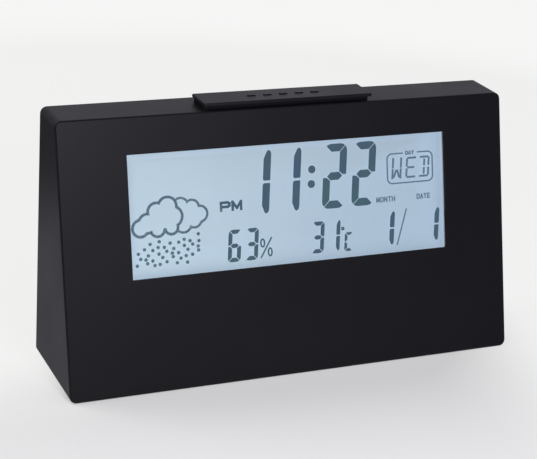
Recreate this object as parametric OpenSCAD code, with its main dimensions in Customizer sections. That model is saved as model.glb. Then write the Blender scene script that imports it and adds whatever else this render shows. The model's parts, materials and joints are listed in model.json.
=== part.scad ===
// Digital desk clock: a leaning black case with a wide display, a long snooze bar on top
// and a battery well, keys and air slots in its back cover.
// X runs along the width, the front looks towards -Y and the base stands on Z = 0.

/* [Case] */
// Width of the case
case_w = 140; // [138:0.5:160]
// Height of the case without the bar
case_h = 75.5; // [75:0.5:84]
// Depth of the case at its base
base_depth = 35; // [34.5:0.5:42]
// Depth of the case at its top
top_depth = 14; // [14:0.5:17]
// Thickness of the top, the base and the ends
wall = 2; // [1.6:0.1:2.2]
// Thickness of the leaning front
front_wall = 1.8; // [1.5:0.1:2]
// Rounding of the case's corners, seen from the front
corner_r = 2; // [1.6:0.1:4]
// Rounding of the edge round the front
front_edge_r = 0.7; // [0.6:0.1:1.4]
// Rounding of the edge round the back
back_edge_r = 0.5; // [0.3:0.1:1.2]

/* [Window and display] */
// Distance from the case's ends to the window
window_side = 20; // [19.5:0.5:30]
// Height of the window along the lean
window_h = 35; // [30:0.5:36]
// Distance from the front's top edge down to the window
window_drop = 10.5; // [10:0.1:12]
// Depth of the window's face behind the front
lens_recess = 0.15; // [0:0.05:0.4]
// Width of the rim that glues the window into the front's rebate
lens_rim = 2; // [1:0.1:3]
// Thickness of that rim
lens_rim_t = 1; // [0.7:0.1:1.1]
// Thickness of each display glass
glass_t = 0.7; // [0.5:0.1:1.1]
// Thickness of each film
film_t = 0.2; // [0.1:0.05:0.3]
// Thickness of the pattern between the glasses
pattern_t = 0.1; // [0.06:0.01:0.2]
// Glass beyond the window at each end
glass_side = 3; // [2.5:0.1:3.5]
// Glass beyond the window at the top and the bottom
glass_edge = 1.5; // [1.2:0.1:1.6]
// Height of the front glass's contact ledge
ledge_h = 3; // [2.6:0.1:4]
// Thickness of the light guide
guide_t = 2.5; // [1.8:0.1:2.7]
// Wall of the display frame
frame_wall = 1.2; // [1:0.1:1.3]
// Thickness of the lip at the frame's front
frame_lip_t = 0.5; // [0.4:0.1:0.9]

/* [Display pattern] */
// Height of the time's digits
time_h = 19; // [15:0.1:19.4]
// Width of the time's digits
time_w = 7.5; // [6:0.1:8]
// Stroke of the time's digits
time_t = 2.3; // [1.6:0.1:2.4]
// Height of the small digits
small_h = 9.3; // [7:0.1:9.6]
// Width of the small digits
small_w = 4; // [3:0.1:4.2]
// Stroke of the small digits
small_t = 1.2; // [0.7:0.05:1.3]
// Height of the date's digits
date_h = 10.4; // [7:0.1:10.6]
// Stroke of the date's digits
date_t = 1.5; // [0.8:0.05:1.6]
// Line of the near cloud
cloud_t = 0.8; // [0.3:0.05:0.9]
// Radius of the rain's drops
drop_r = 0.5; // [0.3:0.05:0.6]

/* [Boards] */
// Thickness of the main board
board_t = 1.6; // [1.2:0.1:1.7]
// Height of the main board along the lean
board_h = 47; // [44:0.5:48]
// Thickness of the small boards
small_board_t = 1.2; // [0.8:0.1:1.3]
// Radius of the main board's bosses
boss_r = 2.3; // [2:0.1:2.4]

/* [Snooze bar] */
// Length of the bar
bar_l = 52.8; // [40:0.2:56]
// Distance from the case's back to the bar
bar_inset = 3.6; // [3.4:0.1:4.2]
// Height of the bar's lip above the case
bar_gap = 1.2; // [1.15:0.05:1.6]
// Thickness of the bar's lip
bar_t = 1; // [0.8:0.1:1.4]
// Overhang of the lip at the ends
bar_lip = 0.6; // [0.5:0.1:1]
// Width of the flange that keeps the bar in its slot
bar_flange = 0.9; // [0.7:0.1:1.2]
// Height of the silicone dome
dome_h = 2.6; // [2.4:0.1:2.8]
// Radius of the silicone dome
dome_r = 3.6; // [3:0.1:3.8]

/* [Back cover] */
// Thickness of the back cover
cover_t = 2; // [1.9:0.1:2.2]
// Depth of the cover's face behind the case's rim
cover_recess = 1; // [0.9:0.1:1.2]
// Gap round the cover
cover_gap = 0.15; // [0.1:0.05:0.3]
// Radius of the screw posts in the corners
post_r = 2.8; // [2.4:0.1:2.9]
// Distance of the posts from the ends' inner faces
post_inset = 4.5; // [4:0.1:4.7]
// Height of the lower posts above the base's inner face
low_post_h = 5; // [4:0.1:8]
// Distance of the upper posts below the top's inner face
high_post_drop = 7.5; // [6:0.1:9]

/* [Rear keys] */
// Radius of the keys
key_r = 2.6; // [2:0.1:3]
// Distance between the keys
key_pitch = 12; // [9:0.5:13]
// Height of the key row above the table
key_z = 42; // [40:0.5:46]
// Height of the keys above the cover
key_rise = 0.8; // [0.4:0.1:0.85]
// Width of the square key switches
switch_w = 6; // [5:0.1:6.4]
// Height of the switch housings
switch_h = 3.4; // [3:0.1:3.5]
// Travel left under a plunger
switch_play = 0.5; // [0.4:0.1:0.8]

/* [Battery well] */
// Diameter of a battery cell
cell_d = 10.5; // [10:0.1:10.6]
// Length of a battery cell
cell_l = 44.5; // [40:0.5:48]
// Space round the cells
cell_space = 0.45; // [0.3:0.05:0.5]
// Length of a fitted contact spring
spring_l = 5; // [4:0.1:6]
// Thickness of the contact plates
contact_t = 0.5; // [0.3:0.1:0.6]
// Wall of the well
well_wall = 1.6; // [1.4:0.1:1.8]
// Floor of the well
well_floor_t = 1.2; // [1:0.1:1.4]
// Height of the well above the base's inner face
well_lift = 4.2; // [4:0.1:4.8]
// Thickness of the battery door
door_t = 1.8; // [1.6:0.05:1.8]
// Width of the ledge under the door's edge
door_ledge = 1.2; // [0.9:0.1:1.3]
// Gap round the door
door_gap = 0.15; // [0.1:0.05:0.25]

/* [Hidden] */
$fn = 48;
hull_facets = 32;
over = 0.5;
skim = 0.02;
fit = 0.15;
seat_gap = 0.1;
part_gap = 0.5;
run_gap = 0.08;

// Case and lean
lean = atan((base_depth - top_depth) / case_h);
slope_l = case_h / cos(lean);
front_y = -base_depth / 2;
back_y = base_depth / 2;
cover_out_y = back_y - cover_recess;
cover_in_y = cover_out_y - cover_t;
inner_top = case_h - wall;
inner_w = case_w - 2 * wall;
function front_at(z) = front_y + z * tan(lean);
function inner_front_at(z) = front_at(z) + front_wall / cos(lean);
// Place in [Y, Z] of a point s up the front's slope and d behind its face
function behind(s, d) = [front_y + s * sin(lean) + d * cos(lean), s * cos(lean) - d * sin(lean)];

// How far up the front's slope a height z lies, at a depth d behind its face
function slope_at(z, d) = (z + d * sin(lean)) / cos(lean);

// Display stack, as depths behind the front's face
window_w = case_w - 2 * window_side;
window_mid = slope_l - window_drop - window_h / 2;
rim_depth = front_wall - lens_rim_t;
lip_depth = front_wall + seat_gap;
glass_depth = lip_depth + frame_lip_t;
pattern_depth = glass_depth + glass_t;
rear_glass_depth = pattern_depth + pattern_t;
rear_film_depth = rear_glass_depth + glass_t;
guide_depth = rear_film_depth + film_t;
reflector_depth = guide_depth + guide_t;
board_depth = reflector_depth + film_t;
board_back = board_depth + board_t;
glass_w = window_w + 2 * glass_side;
glass_top = window_h / 2 + glass_edge;
rear_glass_low = -window_h / 2 - glass_edge;
front_glass_low = rear_glass_low - ledge_h;
frame_w = glass_w + 2 * fit + 2 * frame_wall;
frame_top = glass_top + fit + frame_wall;
frame_low = front_glass_low - fit - frame_wall;
guide_w = window_w + glass_side / 3;
guide_h = window_h + glass_edge * 4 / 3;
led_w = glass_side * 2 / 3;
led_h = 4;
led_t = guide_t * 3 / 4;
strip_t = ledge_h * 2 / 3;

// Screws: head radius, head height, shank radius, shank length
small_screw = [1.9, 0.9, 0.8, 5.5];
cover_screw = [2.1, 1.4, 1, 8];
screw_play = 0.05;
hole_play = 0.3;
cross_w = 0.5;
cross_share = 0.6;
// Board beyond the holes at its ends
board_edge = 3;

// Snooze bar
stem_half = bar_l / 2 - bar_lip;
bar_back_y = back_y - bar_inset;
stem_y0 = inner_front_at(case_h) + fit;
stem_y1 = bar_back_y - bar_lip * 3 / 4;
stem_wall = 1.2;
snooze_post_gap = 6.5;
lip_z = case_h + bar_gap;
bar_top = lip_z + bar_t;
bar_flange_t = 1.2;
bar_flange_z = inner_top - 2 * seat_gap - bar_flange_t;
bar_round = 0.35;
pusher_r = 1.8;
pusher_drop = 0.5;
pusher_z = bar_flange_z - pusher_drop;
snooze_board_top = pusher_z - dome_h;
snooze_board_z = snooze_board_top - small_board_t;
snooze_y = (stem_y0 + stem_y1) / 2;
snooze_post_x = stem_half + snooze_post_gap;
snooze_board_l = 2 * (snooze_post_x + board_edge);
snooze_board_d = 8.4;
dome_wall = 0.6;
mark_count = 5;
mark_pitch = 5;
mark_l = 2.6;
mark_w = 1.1;
mark_t = 0.25;

// Main board
boss_x = frame_w / 2 + boss_r + part_gap;
board_w = 2 * (boss_x + board_edge);
board_top = slope_at(snooze_board_z - small_screw[1] - fit - seat_gap, board_depth);
board_low = board_top - board_h;
boss_inset = 3.5;
boss_rows = [board_low + boss_inset, board_top - boss_inset];
chip_cap_r = 7;
chip_cap_h = 1.6;
dome_steps = 6;
crystal_r = 1;
crystal_l = 6;
crystal_lead_l = 3;
crystal_lead_r = 0.2;
capacitor_r = 2.5;
capacitor_h = 8;
chip_size = [3.2, 1.6, 0.6];
chip_pitch = 6;

// Back cover
post_x = inner_w / 2 - post_inset;
post_rows = [wall + low_post_h, inner_top - high_post_drop];
counterbore_t = 1;
cover_w = inner_w - 2 * cover_gap;
vent_count = 5;
vent_l = 12;
vent_w = 1.4;
vent_pitch = 2.8;
aside_inset = 22.5;
aside_x = case_w / 2 - aside_inset;
aside_z = 20;
sound_ring_r = 5;
sound_hole_r = 0.8;
sound_holes = 8;
buzzer_r = 10;
ceramic_r = 7;
buzzer_t = 0.3;
buzzer_rim_t = 1.2;
buzzer_rim_h = 1;

// Rear keys
key_count = 5;
key_flange = 0.8;
key_flange_t = 0.8;
key_flange_y = cover_in_y - 2 * seat_gap;
key_tip_y = key_flange_y - key_flange_t;
plunger_r = 1.7;
plunger_rise = 0.9;
plunger_sink = 2;
switch_y = key_tip_y - plunger_rise;
key_board_y = switch_y - switch_h;
key_post_x = (key_count + 1) / 2 * key_pitch - key_pitch / 4;
key_post_r = 2.2;
key_board_h = 10;
function key_x(i) = (i - (key_count - 1) / 2) * key_pitch;

// Sensor board
sensor_post_l = 2.5;
sensor_board_w = 15;
sensor_board_h = 11;
sensor_post_dx = 5.4;
sensor_post_r = 1.9;
sensor_y = cover_in_y - sensor_post_l;
sensor_size = [4, 5];
sensor_t = 1.3;
bead_r = 0.8;
bead_l = 2;
bead_lead_r = 0.15;

// Battery well
well_w = cell_l + spring_l + 2 * contact_t;
well_h = 2 * cell_d + 3 * cell_space;
well_z = wall + well_lift;
cell_y = cover_out_y - door_t - cell_space - cell_d / 2;
cell_rows = [well_z + cell_space + cell_d / 2, well_z + 2 * cell_space + cell_d * 3 / 2];
well_floor_y = cell_y - cell_d / 2 - cell_space;
ledge_y = cover_out_y - door_t - seat_gap;
opening_half = well_w / 2 + door_ledge;
opening_z0 = well_z - door_ledge;
opening_z1 = well_z + well_h + door_ledge;
door_top = opening_z1 - door_gap - seat_gap;
tab_x = 15;
tab_w = 6;
tab_t = 1.2;
tab_rise = 1.6;
tab_drop = 1.3;
tab_in_y = cover_out_y - door_t - tab_t - 0.5 * tab_t;
tongue_w = 10;
tongue_t = 1;
tongue_l = 2;
tongue_gap = 0.4;
scoop_r = 9;
scoop_t = 1;
ridge_count = 4;
ridge_pitch = 2.2;
ridge_w = 0.8;
ridge_l = 14;
ridge_t = 0.3;
nub_r = 1.9;
nub_l = 0.9;
cell_bevel = 0.5;
spring_wire_r = 0.3;
spring_turns = 4;
spring_facets = 16;
wire_sides = 8;
tail_w = 2.4;
tail_l = 1.2;
contact_half = cell_d * 0.42;

// Leads
lead_r = 0.4;
lead_steps = 12;
lead_pitch = 1.2;

// Shared shapes

// Children in the front's frame: X across, Y up the slope, Z out of the face
module on_front() {
    translate([0, front_y, 0]) rotate([90 - lean, 0, 0]) children();
}

// Children in the front's frame, about the window's middle
module at_window() {
    on_front() translate([0, window_mid, 0]) children();
}

// Flat layer in the window's frame, between two depths
module layer(w, low, high, depth, t) {
    translate([-w / 2, low, -depth - t]) cube([w, high - low, t]);
}

// Prism along X with an outline in [Y, Z]
module side_prism(points, w, x = 0) {
    translate([x - w / 2, 0, 0]) rotate([90, 0, 90]) linear_extrude(w) polygon(points);
}

// Cylinder along Y that starts at y and runs towards -Y
module rod_y(x, y, z, r, l) {
    translate([x, y, z]) rotate([90, 0, 0]) cylinder(r = r, h = l);
}

// Box between two corners
module block(low, high) {
    translate(low) cube(high - low);
}

// Ring whose outside rounds a corner of radius r with an edge of radius e
module corner_ring(r, e) {
    rotate_extrude($fn = hull_facets) translate([r - e, 0]) circle(e, $fn = hull_facets);
}

// Screw with its head above Z = 0 and its shank below
module screw(s) {
    difference() {
        union() {
            cylinder(r = s[0], h = s[1]);
            translate([0, 0, -s[3]]) cylinder(r = s[2], h = s[3] + s[1] / 2);
        }
        for (turn = [0, 90]) rotate([0, 0, turn])
            translate([-s[0] * cross_share, -cross_w / 2, s[1] / 2])
                cube([2 * s[0] * cross_share, cross_w, s[1]]);
    }
}

// Screw whose head looks towards +Y
module screw_back(x, y, z, s) {
    translate([x, y, z]) rotate([-90, 0, 0]) screw(s);
}

// Tube of radius r along points, with its rings turned from the reference direction up
function unit(v) = v / norm(v);
function heading(p, i) = unit(p[min(i + 1, len(p) - 1)] - p[max(i - 1, 0)]);
function ring(c, along, up, r) = let (u = unit(cross(along, up)), v = cross(along, u))
    [for (k = [0 : wire_sides - 1]) c + r * (cos(360 * k / wire_sides) * u + sin(360 * k / wire_sides) * v)];
module tube(p, r, up) {
    n = len(p);
    m = wire_sides;
    points = [for (i = [0 : n - 1]) each ring(p[i], heading(p, i), up, r)];
    sides = [for (i = [0 : n - 2], k = [0 : m - 1], half = [0, 1])
        let (a = i * m + k, b = i * m + (k + 1) % m) half == 0 ? [a, b + m, b] : [a, a + m, b + m]];
    first = [for (k = [1 : m - 2]) [0, k, k + 1]];
    last = [for (k = [1 : m - 2]) [0, k + 1, k] + (n - 1) * m * [1, 1, 1]];
    polyhedron(points, concat(sides, first, last));
}
function bend(a, b, c, d, t) = let (u = 1 - t)
    u * u * u * a + 3 * t * u * u * b + 3 * t * t * u * c + t * t * t * d;
function route(a, b, c, d) = [for (i = [0 : lead_steps]) bend(a, b, c, d, i / lead_steps)];

// Case

module case_shape() {
    corner_x = case_w / 2 - corner_r;
    ring_z = front_edge_r + (corner_r - front_edge_r) * cos(lean);
    difference() {
        hull() {
            for (side = [-1, 1], z = [ring_z - skim, case_h - ring_z])
                on_front() translate([side * corner_x, slope_at(z, front_edge_r), -front_edge_r])
                    corner_ring(corner_r, front_edge_r);
            for (side = [-1, 1], z = [corner_r - skim, case_h - corner_r])
                translate([side * corner_x, back_y - back_edge_r, z])
                    rotate([90, 0, 0]) corner_ring(corner_r, back_edge_r);
        }
        block([-case_w, -base_depth, -case_h], [case_w, base_depth, 0]);
    }
}

module cavity() {
    side_prism([
        [inner_front_at(wall), wall],
        [back_y + over, wall],
        [back_y + over, inner_top],
        [inner_front_at(inner_top), inner_top]], inner_w);
}

module front_case() {
    color("#2c2c30") difference() {
        union() {
            difference() {
                case_shape();
                cavity();
            }
            for (side = [-1, 1], z = post_rows) {
                post_l = cover_in_y - inner_front_at(z - post_r);
                rod_y(side * post_x, cover_in_y, z, post_r, post_l);
            }
            for (side = [-1, 1], s = boss_rows) on_front() translate([side * boss_x, s, -board_depth])
                cylinder(r = boss_r, h = board_depth - front_wall / 2);
            for (side = [-1, 1]) translate([side * snooze_post_x, snooze_y, snooze_board_top])
                cylinder(r = key_post_r, h = inner_top + wall / 2 - snooze_board_top);
        }
        at_window() {
            layer(window_w, -window_h / 2, window_h / 2, -over, front_wall + 2 * over);
            rebate_half = window_h / 2 + lens_rim + seat_gap;
            layer(2 * (window_w / 2 + lens_rim + seat_gap), -rebate_half, rebate_half,
                rim_depth - skim, lens_rim_t + over);
        }
        block([-stem_half - fit, stem_y0 - fit, inner_top - over],
            [stem_half + fit, stem_y1 + fit, case_h + over]);
        for (side = [-1, 1], z = post_rows)
            rod_y(side * post_x, cover_in_y + over, z, cover_screw[2] + screw_play, cover_screw[3] + over);
        for (side = [-1, 1], s = boss_rows) on_front() translate([side * boss_x, s, -board_depth - over])
            cylinder(r = small_screw[2] + screw_play, h = small_screw[3] - board_t + 2 * over);
        for (side = [-1, 1]) translate([side * snooze_post_x, snooze_y, snooze_board_top - over])
            cylinder(r = small_screw[2] + screw_play, h = small_screw[3] - small_board_t + 2 * over);
    }
}

// Window and display

module window_lens() {
    half = window_h / 2;
    color([0.8, 0.86, 0.9, 0.4]) at_window() {
        layer(window_w - 2 * seat_gap, seat_gap - half, half - seat_gap,
            lens_recess, front_wall - lens_recess);
        layer(window_w + 2 * lens_rim, -half - lens_rim, half + lens_rim, rim_depth, lens_rim_t);
    }
}

module front_polarizer() {
    color([0.75, 0.8, 0.8, 0.5]) at_window()
        layer(window_w + seat_gap, -window_h / 2, window_h / 2, glass_depth - film_t, film_t);
}

module lcd_front_glass() {
    color([0.8, 0.88, 0.88, 0.4]) at_window()
        layer(glass_w, front_glass_low, glass_top, glass_depth, glass_t);
}

module lcd_rear_glass() {
    color([0.8, 0.88, 0.88, 0.4]) at_window()
        layer(glass_w, rear_glass_low, glass_top, rear_glass_depth, glass_t);
}

module rear_polarizer() {
    color("#b8cadb") at_window()
        layer(glass_w - 2 * fit, rear_glass_low + fit, glass_top - fit, rear_film_depth, film_t);
}

module light_guide() {
    color([0.93, 0.95, 0.97, 0.7]) at_window()
        layer(guide_w, -guide_h / 2, guide_h / 2, guide_depth, guide_t);
}

module reflector() {
    color("white") at_window() layer(guide_w, -guide_h / 2, guide_h / 2, reflector_depth, film_t);
}

module backlight_leds() {
    color("#e8e4d0") at_window() for (side = [-1, 1])
        translate([side * (guide_w / 2 + fit + led_w / 2), 0, 0])
            layer(led_w, -led_h / 2, led_h / 2, board_depth - led_t, led_t);
}

module contact_strip() {
    mid = (front_glass_low + rear_glass_low) / 2;
    color("#8a8f99") at_window()
        layer(window_w, mid - strip_t / 2, mid + strip_t / 2, pattern_depth, board_depth - pattern_depth);
}

module display_frame() {
    frame_t = board_depth - lip_depth;
    lip_w = window_w + 2 * part_gap;
    color("#ececec") at_window() difference() {
        layer(frame_w, frame_low, frame_top, lip_depth, frame_t);
        layer(lip_w, -window_h / 2 - part_gap, window_h / 2 + part_gap, 0, board_back);
        layer(glass_w + 2 * fit, front_glass_low - fit, glass_top + fit, glass_depth, frame_t);
    }
}

// Display pattern, drawn from the window's lower left corner

// Corners of each segment of a digit w wide, h high and t thick, with gaps g
function segment_points(name, w, h, t, g) =
    name == "a" ? [[g, h], [w - g, h], [w - t - g, h - t], [t + g, h - t]] :
    name == "d" ? [[g, 0], [t + g, t], [w - t - g, t], [w - g, 0]] :
    name == "g" ? [[t / 2 + g, h / 2], [t + g, (h + t) / 2], [w - t - g, (h + t) / 2],
        [w - t / 2 - g, h / 2], [w - t - g, (h - t) / 2], [t + g, (h - t) / 2]] :
    let (upper = h / 2 + t * middle_share, lower = h / 2 - t * middle_share,
        inner_up = (h + t) / 2 + g, inner_low = (h - t) / 2 - g)
    name == "b" ? [[w, h - g], [w, upper], [w - t / 2, upper], [w - t, inner_up], [w - t, h - t - g]] :
    name == "c" ? [[w, g], [w - t, t + g], [w - t, inner_low], [w - t / 2, lower], [w, lower]] :
    name == "f" ? [[0, h - g], [t, h - t - g], [t, inner_up], [t / 2, upper], [0, upper]] :
    [[0, g], [0, lower], [t / 2, lower], [t, inner_low], [t, t + g]];
lit_segments = ["abcdef", "", "abged", "abgcd", "fgbc", "afgcd", "afgedc", "abc", "abcdefg", "abcdfg"];
slant_share = 0.085;
segment_gap = 0.15;
middle_share = 0.16;
function slanted(p) = [p[0] + p[1] * slant_share, p[1]];

// Outline of a digit, with its corners rounded in a few steps
corner_steps = 5;
function digit_outline(w, h, r) = [for (corner = [[1, 1, 0], [0, 1, 90], [0, 0, 180], [1, 0, 270]],
    i = [0 : corner_steps]) let (a = corner[2] + 90 * i / corner_steps)
        [corner[0] * (w - 2 * r) + r * (1 + cos(a)), corner[1] * (h - 2 * r) + r * (1 + sin(a))]];

module segments(names, w, h, t) {
    intersection() {
        for (name = names) polygon([for (p = segment_points(name, w, h, t, segment_gap)) slanted(p)]);
        polygon([for (p = digit_outline(w, h, t)) slanted(p)]);
    }
}

// Half of a digit one: places across its stroke, from its middle (0) or its tip (1), and further
one_shares = [[-0.84, 0, 0], [-0.08, 0, 0], [0, 0, 0.1], [0, 1, -0.45], [-0.12, 1, -0.14], [-0.3, 1, 0],
    [-0.46, 1, 0], [-0.64, 1, -0.2], [-1, 1, -1.05], [-1, 0, 0.18]];
tip_share = 0.17;

module digit_one(w, h, t) {
    ends = [t * middle_share, h / 2 - t * tip_share];
    for (side = [-1, 1])
        polygon([for (s = one_shares) slanted([w + s[0] * t, h / 2 + side * (ends[s[1]] + s[2] * t)])]);
}

module digit(number, w, h, t) {
    if (number == 1) digit_one(w, h, t);
    else segments(lit_segments[number], w, h, t);
}

// Child shapes at a place given as shares of the window
module at_share(place) {
    translate([place[0] * window_w, place[1] * window_h]) children();
}

module stroke(a, b, t) {
    translate(a) rotate(atan2(b[1] - a[1], b[0] - a[0])) translate([-t / 2, -t / 2])
        square([norm(b - a) + t, t]);
}

// Letters as strokes in a unit cell
glyph_shares = [
    ["P", [[0, 0, 0, 1], [0, 1, 0.8, 1], [0.8, 1, 1, 0.85], [1, 0.85, 1, 0.6], [1, 0.6, 0.8, 0.45],
        [0.8, 0.45, 0, 0.45]]],
    ["M", [[0, 0, 0, 1], [0, 1, 0.5, 0.2], [0.5, 0.2, 1, 1], [1, 1, 1, 0]]],
    ["E", [[0, 0, 0, 1], [0, 1, 1, 1], [0, 0.5, 0.8, 0.5], [0, 0, 1, 0]]],
    ["D", [[0, 0, 0, 1], [0, 1, 0.7, 1], [0.7, 1, 1, 0.8], [1, 0.8, 1, 0.2], [1, 0.2, 0.7, 0],
        [0.7, 0, 0, 0]]],
    ["Y", [[0, 1, 0.5, 0.5], [1, 1, 0.5, 0.5], [0.5, 0.5, 0.5, 0]]],
    ["O", [[0, 0.2, 0, 0.8], [0, 0.8, 0.2, 1], [0.2, 1, 0.8, 1], [0.8, 1, 1, 0.8], [1, 0.8, 1, 0.2],
        [1, 0.2, 0.8, 0], [0.8, 0, 0.2, 0], [0.2, 0, 0, 0.2]]],
    ["N", [[0, 0, 0, 1], [0, 1, 1, 0], [1, 0, 1, 1]]],
    ["T", [[0, 1, 1, 1], [0.5, 0, 0.5, 1]]],
    ["H", [[0, 0, 0, 1], [1, 0, 1, 1], [0, 0.5, 1, 0.5]]],
    ["A", [[0, 0, 0.5, 1], [0.5, 1, 1, 0], [0.2, 0.35, 0.8, 0.35]]]];

module glyph(letter, w, h, t) {
    for (s = glyph_shares[search([letter], glyph_shares)[0]][1])
        stroke([s[0] * w, s[1] * h], [s[2] * w, s[3] * h], t);
}

// Word with its letters spread over a length l, each taking a share of its space
module word(letters, l, h, t, share = 0.68) {
    n = len(letters);
    w = l / n * share;
    for (i = [0 : n - 1]) translate([i * (l - w) / (n - 1), 0]) glyph(letters[i], w, h, t);
}

module ring_line(r, t) {
    difference() {
        circle(r);
        circle(r - t);
    }
}

// Lobes of the two clouds: place and radius as shares of the window's height
near_cloud_shares = [[0.089, 0.406, 0.08], [0.151, 0.441, 0.09], [0.228, 0.53, 0.084], [0.324, 0.564, 0.09],
    [0.365, 0.479, 0.095], [0.353, 0.393, 0.067], [0.234, 0.387, 0.071], [0.253, 0.454, 0.095],
    [0.31, 0.445, 0.078]];
far_cloud_shares = [[0.436, 0.559, 0.076], [0.533, 0.54, 0.072], [0.6, 0.482, 0.076], [0.552, 0.437, 0.072],
    [0.456, 0.412, 0.08], [0.498, 0.482, 0.083]];
far_line_share = 0.85;

module cloud(shares, inset) {
    for (s = shares) translate([s[0] * window_h, s[1] * window_h]) circle(s[2] * window_h - inset);
}

module clouds() {
    difference() {
        cloud(near_cloud_shares, 0);
        cloud(near_cloud_shares, cloud_t);
    }
    difference() {
        cloud(far_cloud_shares, 0);
        cloud(far_cloud_shares, cloud_t * far_line_share);
        cloud(near_cloud_shares, cloud_t / 2);
    }
}

// Place of the pattern's middle beside the window's middle
pattern_shift = [0.9, -0.3];
drop_rows = 5;
drop_columns = 8;
drop_sway = 0.3;
drop_lean = 0.25;
// Turns per row and column that scatter the drops
sway_turn = [137, 71];
lift_turn = [59, 113];
rain_place = [0.016, 0.106];
rain_pitch_share = 0.024;
rain_row_share = 0.042;
high_drop_place = [0.203, 0.32];

module rain() {
    // The shower leans, and its lowest and highest rows are a drop short
    for (row = [0 : drop_rows - 1],
            column = [(row == drop_rows - 1 ? 1 : 0) : drop_columns - (row == 0 ? 2 : 1)]) {
        sway = sin(row * sway_turn[0] + column * sway_turn[1]) * drop_sway;
        lift = sin(row * lift_turn[0] + column * lift_turn[1]) * drop_sway;
        at_share([rain_place[0] + (column + sway + row * drop_lean) * rain_pitch_share,
            rain_place[1] + (row + lift) * rain_row_share]) circle(drop_r);
    }
    at_share(high_drop_place) circle(drop_r);
}

time_shares = [[0.349, 1], [0.445, 1], [0.5935, 2], [0.6897, 2]];
time_base_share = 0.424;
small_shares = [[0.289, 6], [0.343, 3], [0.554, 3], [0.606, 1]];
small_base_share = 0.0585;
date_shares = [0.787, 0.939];
date_base_share = 0.059;
colon_places = [[0.566, 0.767], [0.5627, 0.645]];
colon_r = time_t / 2;
percent_place = [0.395, 0.0725];
percent_size = [3.4, 5.5];
percent_oval = [0.8, 1.35];
percent_t = 0.45;
oval_steps = 20;
degree_place = [0.66, 0.245];
degree_r = 0.55;
celsius_place = [0.662, 0.05];
celsius_size = [2.7, 5.6];
celsius_t = 0.85;
slash_places = [[0.84, 0.061], [0.874, 0.36]];
thin_t = 0.42;
meridiem_place = [0.276, 0.491];
meridiem_size = [6.2, 2.2];
meridiem_t = 0.75;
meridiem_share = 0.84;
day_frame_place = [0.814, 0.588];
day_frame_size = [15.3, 8.9];
day_frame_r = 1.6;
day_place = [0.83, 0.634];
day_size = [2.7, 5.7];
day_pitch = 4.7;
day_t = 0.6;
// Strokes of the weekday's letters in a unit cell, split at their middles
day_shares = [
    [[0, 0.57, 0, 1], [0, 0, 0, 0.43], [1, 0.57, 1, 1], [1, 0, 1, 0.43], [0.2, 0.08, 0.42, 0.38],
        [0.8, 0.08, 0.58, 0.38]],
    [[0, 0.6, 0, 0.92], [0, 0.08, 0, 0.4], [0.15, 1, 1, 1], [0.2, 0.5, 0.85, 0.5], [0.15, 0, 1, 0]],
    [[0, 1, 0.85, 1], [1, 0.6, 1, 0.92], [1, 0.08, 1, 0.4], [0, 0, 0.85, 0], [0.45, 0.6, 0.45, 0.85],
        [0.45, 0.15, 0.45, 0.4]]];
day_label_gap = [5.2, 10.4];
day_label_l = 2.6;
day_label_h = 0.9;
label_t = 0.32;
label_h = 1.3;
month_place = [0.7755, 0.441];
month_l = 6;
date_place = [0.912, 0.441];
date_l = 4.3;

module day_frame() {
    w = day_frame_size[0];
    h = day_frame_size[1];
    stroke([day_frame_r, 0], [w - day_frame_r, 0], thin_t);
    // The upper line leaves room for the label
    stroke([day_frame_r, h], [day_label_gap[0], h], thin_t);
    stroke([day_label_gap[1], h], [w - day_frame_r, h], thin_t);
    translate([(w - day_label_l) / 2, h - day_label_h / 2]) word("DAY", day_label_l, day_label_h, label_t);
    for (x = [0, w]) stroke([x, day_frame_r], [x, h - day_frame_r], thin_t);
    for (corner = [[day_frame_r, day_frame_r, 180], [w - day_frame_r, day_frame_r, 270],
            [w - day_frame_r, h - day_frame_r, 0], [day_frame_r, h - day_frame_r, 90]])
        translate([corner[0], corner[1]]) rotate(corner[2]) intersection() {
            ring_line(day_frame_r + thin_t / 2, thin_t);
            square(2 * day_frame_r);
        }
}

module day_letters() {
    for (i = [0 : len(day_shares) - 1], s = day_shares[i]) translate([i * day_pitch, 0])
        stroke(slanted([s[0] * day_size[0], s[1] * day_size[1]]),
            slanted([s[2] * day_size[0], s[3] * day_size[1]]), day_t);
}

module oval(radii) {
    polygon([for (i = [0 : oval_steps - 1]) let (a = 360 * i / oval_steps)
        [radii[0] * cos(a), radii[1] * sin(a)]]);
}

module percent_sign() {
    w = percent_size[0];
    h = percent_size[1];
    stroke([0, 0], [w, h], thin_t);
    for (place = [[w / 6, h - percent_oval[1]], [w * 5 / 6, percent_oval[1]]])
        translate(place) difference() {
            oval(percent_oval);
            oval([for (r = percent_oval) r - percent_t]);
        }
}

module pattern_shapes() {
    for (s = time_shares) at_share([s[0], time_base_share])
        digit(s[1], time_w, time_h, time_t);
    for (place = colon_places) at_share(place) circle(colon_r);
    for (s = small_shares) at_share([s[0], small_base_share])
        digit(s[1], small_w, small_h, small_t);
    for (share = date_shares) at_share([share, date_base_share])
        digit(1, small_w, date_h, date_t);
    at_share(percent_place) percent_sign();
    at_share(degree_place) ring_line(degree_r, thin_t);
    at_share(celsius_place) segments("afed", celsius_size[0], celsius_size[1], celsius_t);
    stroke([slash_places[0][0] * window_w, slash_places[0][1] * window_h],
        [slash_places[1][0] * window_w, slash_places[1][1] * window_h], thin_t);
    at_share(meridiem_place) word("PM", meridiem_size[0], meridiem_size[1], meridiem_t, meridiem_share);
    at_share(day_frame_place) day_frame();
    at_share(day_place) day_letters();
    at_share(month_place) word("MONTH", month_l, label_h, label_t);
    at_share(date_place) word("DATE", date_l, label_h, label_t);
    clouds();
    rain();
}

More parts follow.
